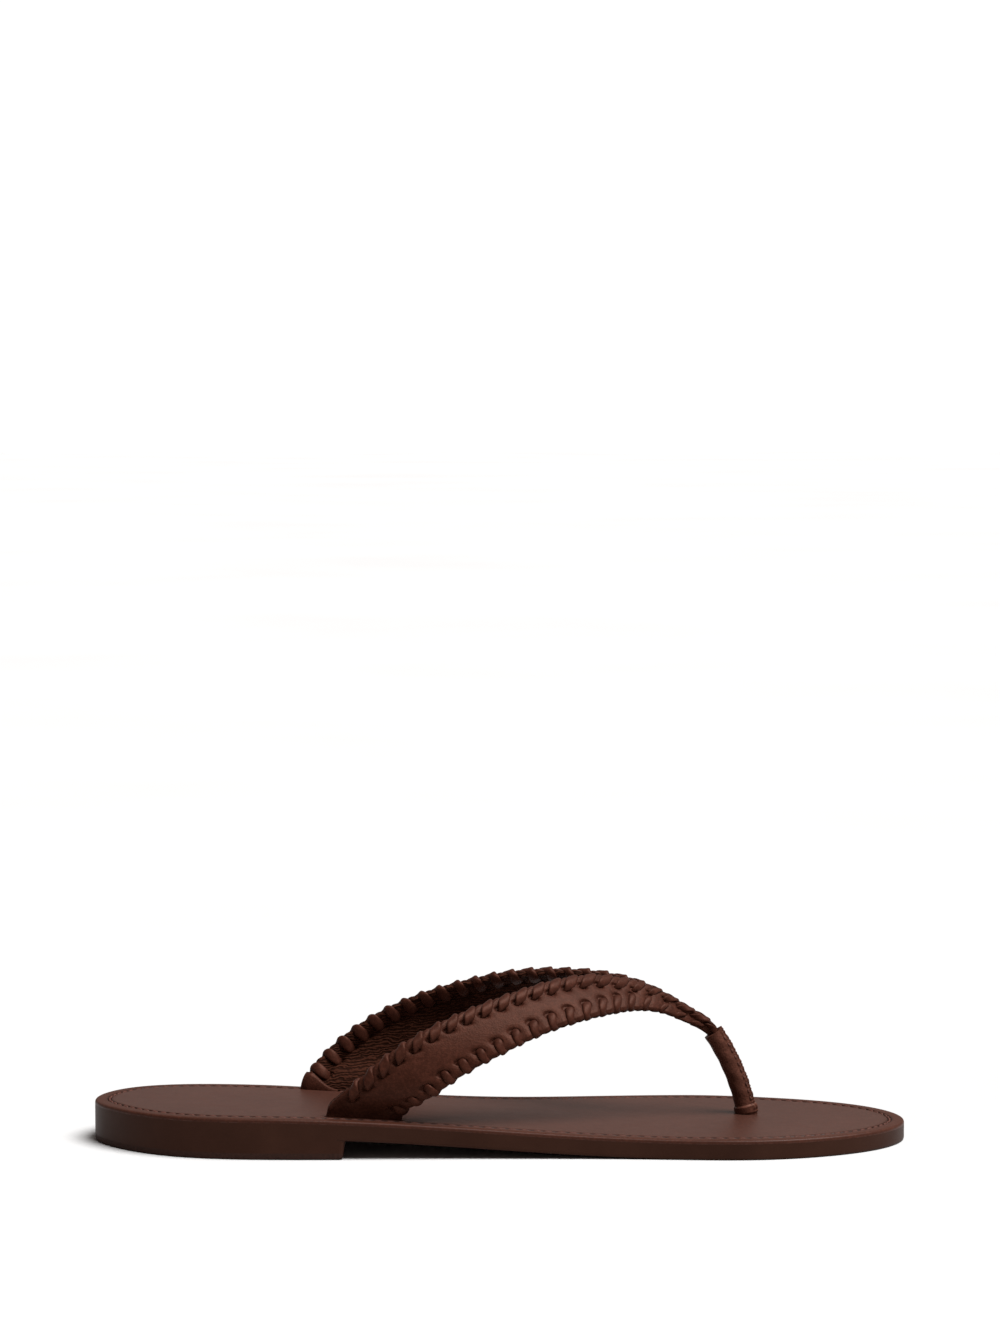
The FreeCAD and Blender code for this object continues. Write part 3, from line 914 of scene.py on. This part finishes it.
def lace_path(strap, at_rear):
    """The whipstitch's middle line, its outward directions, and its size, width and thickness."""
    _, at = strap.holes(at_rear)
    run = strap.edge_run(at_rear)
    points, ups, sizes, widths, puffs = [], [], [], [], []
    theta = np.linspace(0, 2 * math.pi, LACE_STEPS, endpoint=False)
    cos, sin = np.cos(theta), np.sin(theta)
    power = 2.0 / 2.15
    rise_share = 0.42 if at_rear else 0.24
    # The far strap's rear lace is even and flat inside the strap, and round where it turns over.
    open_turn = strap.side == "medial" and at_rear
    reach_over, pinch, slim, plump = (0.9, 0.10, 0.26, 0.75) if open_turn else (1.3, 0.25, 0.12, 0.55)
    for number, centre in enumerate(at):
        lean = lace_lean(strap, at_rear, number / (len(at) - 1)) + random.uniform(-0.03, 0.03)
        along = LACE_PITCH * (theta / (2 * math.pi) + (lean - 0.5) * (1 - np.cos(theta)) / 2)
        s = np.interp(centre + along, run, strap.run)
        rear, across, normal, width, _ = strap.read(s)
        size = lace_scale(width)
        inset = hole_inset(strap, at_rear, width)
        near = 1.15 * size
        far = inset + 0.15 * size
        middle = (near + far) / 2
        reach = (far - near) / 2
        rise = (OUTER_SKIN + LACE_THICK * rise_share) * size
        a = middle + reach * np.sign(cos) * np.abs(cos) ** power
        h = rise * np.sign(sin) * np.abs(sin) ** power
        place = a if at_rear else width - a
        crown = strap.crown_at(s, place / width)
        points.append(rear + across * place[:, None] + normal * (h + crown)[:, None])
        inwards = across if at_rear else -across
        ups.append(unit(inwards * (cos / reach)[:, None] + normal * (sin / rise)[:, None]))
        sizes.append(size)
        in_hole = bump(np.minimum(theta, 2 * math.pi - theta), 1.0)
        over_edge = bump(np.abs(theta - math.pi), reach_over)
        widths.append(1 - pinch * in_hole - slim * over_edge)
        puffs.append(1 + 0.15 * in_hole + plump * over_edge)
    return [rounded(np.concatenate(points)), rounded(np.concatenate(ups)), np.concatenate(sizes),
            np.concatenate(widths), np.concatenate(puffs)]


def rounded(values):
    """Takes the corners off a dense path; its two ends stay."""
    for _ in range(LACE_SMOOTHING):
        middle = (values[:-2] + 2 * values[1:-1] + values[2:]) / 4
        values = np.concatenate([values[:1], middle, values[-1:]])
    return values


def make_lace(strap, at_rear):
    """One edge's lace: a soft rounded thong wound through the holes and over the edge."""
    points, ups, sizes, widths, puffs = lace_path(strap, at_rear)
    along = unit(np.gradient(points, axis=0))
    wide = unit(np.cross(along, ups))
    up = np.cross(wide, along)
    angles = np.linspace(0, 2 * math.pi, 18, endpoint=False)
    cos, sin = np.cos(angles), np.sin(angles)
    power = 2.0 / 2.2
    x = np.sign(cos) * np.abs(cos) ** power * lace_width(strap, at_rear) / 2
    y = np.sign(sin) * np.abs(sin) ** power * LACE_THICK / 2
    beats = np.arange(0, len(points) + LACE_STEPS, LACE_STEPS // 2)
    wander = np.interp(np.arange(len(points)), beats, [random.uniform(0.93, 1.07) for _ in beats])
    scale_x = (sizes * widths * wander)[:, None, None]
    scale_y = (sizes * puffs)[:, None, None]
    rings = (points[:, None] + wide[:, None] * x[None, :, None] * scale_x
             + up[:, None] * y[None, :, None] * scale_y)
    builder = Builder()
    builder.tube(rings)
    edge = strap.side + ("_rear" if at_rear else "_front")
    return builder.make("whipstitch_" + edge, lace_leather, ["lace_" + edge], sharp=80)


def make_base_fold(strap, name, reach, rise, rows=26, columns=40):
    """The corner of the outer leather turned over the strap's rear edge at its foot."""
    u = np.linspace(0, 1, columns)
    v = np.linspace(0, 1, rows)
    dome = np.sqrt(np.clip(1 - ((u - 0.12) / 0.95) ** 2, 0.02, 1))
    top = rise * (1 - smooth(0.0, 1.0, u) * 0.86) * dome
    s = strap.base - 1.2 + (top + 1.2)[None] * v[:, None]
    rear, across, normal, _, _ = strap.read(s.ravel())
    a = np.broadcast_to(-0.1 + reach * u, s.shape).ravel()
    wrap = bump(np.abs(a + 0.1), 2.4)
    lift = -(OUTER_SKIN + 0.85 + 0.25 * np.sin(np.pi * np.repeat(v, columns)) - 1.0 * wrap)
    rim = np.minimum(1 - np.tile(u, rows), 1 - np.repeat(v, columns))
    lift += 0.45 * bump(rim, 0.16)
    skin = rear + across * a[:, None] + normal * lift[:, None]
    back = rear + across * (a + 0.1 * wrap)[:, None] - normal * (OUTER_SKIN - 0.35)
    skin = skin.reshape(rows, columns, 3)
    back = back.reshape(rows, columns, 3)
    builder = Builder()
    builder.grid(np.concatenate([skin, back[:, ::-1]], axis=1), closed_v=True)
    builder.grid(np.stack([skin[0], back[0]]))
    builder.grid(np.stack([skin[-1], back[-1]]))
    return builder.make(name, strap_leather, weld=0.001, sharp=70)


# ---- toe post --------------------------------------------------------------
def post_line(low, high, count):
    """Places along the post's arc with the directions to its toe side and its outer side."""
    centre, radius, start, end = post_arc()
    length = (end - start) * radius
    angle = start + np.linspace(low, length + high, count) / radius
    radial = np.column_stack([np.cos(angle), np.zeros(count), np.sin(angle)])
    places = np.array([centre[0], POST_Y, centre[1]]) + radial * radius
    outer = np.tile([0.0, -1.0, 0.0], (count, 1))
    along = np.column_stack([-np.sin(angle), np.zeros(count), np.cos(angle)])
    return places, radial, outer, along


def make_sleeve():
    """The rolled leather sleeve with a raised butted seam, open at the top and cuffed at its foot."""
    rows = 150
    columns = 96
    places, toe, outer, along = post_line(-BOARD_DEPTH, 0.3, rows)
    height = np.linspace(-BOARD_DEPTH, POST_LENGTH, rows)
    angles = np.linspace(0, 2 * math.pi, columns, endpoint=False)
    gap = np.abs((angles - SEAM_ANGLE + math.pi) % (2 * math.pi) - math.pi)
    ridge = 0.50 * np.exp(-(gap / 0.30) ** 4) - 0.85 * np.exp(-(gap / 0.10) ** 2)
    flute = 0.06 * np.sin(height[:, None] * 1.1 + 3 * np.cos(angles)[None]) * smooth(2, 6, height)[:, None]
    cuff = CUFF_RISE * (1 - smooth(2.3, 2.7, height)) * smooth(-0.6, 0.5, height)
    knots = np.sin(height * 2 * math.pi / 1.3 + 1.5 * np.sin(height * 1.7))
    notch = 0.15 * knots[:, None] * np.exp(-(gap / 0.30) ** 2)[None]
    radius = POST_RADIUS + SLEEVE_GROWTH + ridge[None] + flute + cuff[:, None] + notch
    inner = np.full((rows, columns), POST_RADIUS - SLEEVE_WALL)
    direction = (toe[:, None] * np.cos(angles)[None, :, None]
                 + outer[:, None] * np.sin(angles)[None, :, None])
    skin = places[:, None] + direction * radius[..., None]
    bore = places[:, None] + direction * inner[..., None]
    top_cut = 0.9 * np.exp(-(gap / 0.35) ** 2) - 0.15 * np.cos(angles)
    lift = smooth(20, POST_LENGTH, height)[:, None] * top_cut[None]
    skin += along[:, None] * lift[..., None]
    bore += along[:, None] * lift[..., None]
    builder = Builder()
    builder.grid(skin, closed_v=True)
    builder.grid(bore, closed_v=True, flip=True)
    builder.grid(np.stack([skin[0], bore[0]]), closed_v=True)
    builder.grid(np.stack([skin[-1], bore[-1]]), closed_v=True)
    return builder.make("toe_post_sleeve_leather", sleeve_leather,
                        ["toe_post_sleeve"])


def make_post_stitches():
    """Saddle stitches that close the sleeve's seam."""
    builder = Builder()
    count = 11
    places, toe, outer, along = post_line(2.4, -1.6, count * 2)
    turn = SEAM_ANGLE + 0.30
    direction = toe * math.cos(turn) + outer * math.sin(turn)
    for number in range(count):
        i = number * 2
        base = places[i] + direction[i] * (POST_RADIUS + 0.30)
        line = base + along[i] * np.linspace(-POST_STITCH / 2, POST_STITCH / 2, 7)[:, None]
        line -= direction[i] * (0.32 * np.linspace(-1, 1, 7) ** 4)[:, None]
        builder.tube(stitch_rings(line, np.tile(direction[i], (7, 1)), 0.30, 0.24))
    return builder.make("toe_post_seam_stitches", thread_brown, ["toe_post_thread"])


# ---- build -----------------------------------------------------------------
make_footbed_cover()
make_sole_layers()
make_heels()
make_footbed_seam()

lateral = Strap("lateral", LATERAL_REAR, LATERAL_FRONT, 1.0)
medial = Strap("medial", MEDIAL_REAR, MEDIAL_FRONT, -1.0)
for strap in (lateral, medial):
    prefix = "strap_" + strap.side
    make_leather(strap, prefix + "_outer_leather", 1, strap_leather,
                 [prefix + "_outer"])
    make_leather(strap, prefix + "_lining_leather", -1, lining_leather,
                 [prefix + "_lining", prefix + "_tape"])
    make_lace(strap, True)
    make_lace(strap, False)

make_base_fold(medial, "strap_medial_fold", 12.0, 5.6)
make_sleeve()
make_post_stitches()
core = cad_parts["toe_post_core"]
core.data.materials.clear()
core.data.materials.append(tape_cloth)


# ---- stage, light and camera -----------------------------------------------
FILL_LEVEL = 0.2
GLINT_LEVEL = 0.14
BACKDROP_LEVEL = 0.85
KEY_ENERGY = 6.8
KEY_SPREAD = math.radians(40)
KEY_DIRECTION = (0.43, -0.2, 1.0)
CAMERA_PLACE = (0.0, -1.28025, 0.23374)
CAMERA_DIP = math.radians(3.861)
CAMERA_LENS = 111.38


def make_floor():
    material, tree, shader = fresh("studio_floor")
    haze = noise(tree, mapping(tree), 2.0)
    link(tree, ramp(tree, haze, (0.47, 0.47, 0.47), (0.5, 0.5, 0.5)), shader.inputs["Base Color"])
    shader.inputs["Roughness"].default_value = 0.9
    shader.inputs["Specular IOR Level"].default_value = 0.1
    reach = 14.0
    mesh = bpy.data.meshes.new("studio_floor")
    mesh.from_pydata([(-reach, -reach, 0), (reach, -reach, 0), (reach, reach, 0), (-reach, reach, 0)],
                     [], [(0, 1, 2, 3)])
    floor = bpy.data.objects.new("studio_floor", mesh)
    bpy.context.scene.collection.objects.link(floor)
    mesh.materials.append(material)


def make_lights():
    """A white backdrop, a dim warm fill that is stronger in reflections, and a large soft key light."""
    world = bpy.data.worlds.new("studio_world")
    world.use_nodes = True
    tree = world.node_tree
    rays = node(tree, "ShaderNodeLightPath")
    glint = node(tree, "ShaderNodeMath", operation="MULTIPLY_ADD")
    link(tree, rays.outputs["Is Glossy Ray"], glint.inputs[0])
    glint.inputs[1].default_value = GLINT_LEVEL
    glint.inputs[2].default_value = FILL_LEVEL
    level = node(tree, "ShaderNodeMath", operation="MULTIPLY_ADD")
    link(tree, rays.outputs["Is Camera Ray"], level.inputs[0])
    level.inputs[1].default_value = BACKDROP_LEVEL
    link(tree, glint.outputs["Value"], level.inputs[2])
    warm = node(tree, "ShaderNodeMix", data_type="RGBA")
    link(tree, rays.outputs["Is Camera Ray"], warm.inputs["Factor"])
    warm.inputs["A"].default_value = (1.0, 0.86, 0.80, 1)
    warm.inputs["B"].default_value = (1, 1, 1, 1)
    link(tree, warm.outputs["Result"], tree.nodes["Background"].inputs["Color"])
    link(tree, level.outputs["Value"], tree.nodes["Background"].inputs["Strength"])
    bpy.context.scene.world = world
    light = bpy.data.lights.new("key_softbox", "SUN")
    light.energy = KEY_ENERGY
    light.angle = KEY_SPREAD
    lamp = bpy.data.objects.new("key_softbox", light)
    lamp.rotation_mode = "QUATERNION"
    lamp.rotation_quaternion = Vector(KEY_DIRECTION).to_track_quat("Z", "Y")
    bpy.context.scene.collection.objects.link(lamp)


def make_camera():
    lens = bpy.data.cameras.new("camera")
    lens.sensor_width = 36.0
    lens.lens = CAMERA_LENS
    lens.clip_start = 0.05
    lens.clip_end = 60.0
    camera = bpy.data.objects.new("camera", lens)
    camera.location = CAMERA_PLACE
    camera.rotation_euler = (math.radians(90.0) - CAMERA_DIP, 0.0, 0.0)
    bpy.context.scene.collection.objects.link(camera)
    bpy.context.scene.camera = camera


make_floor()
make_lights()
make_camera()
bpy.context.scene.view_settings.view_transform = "Standard"
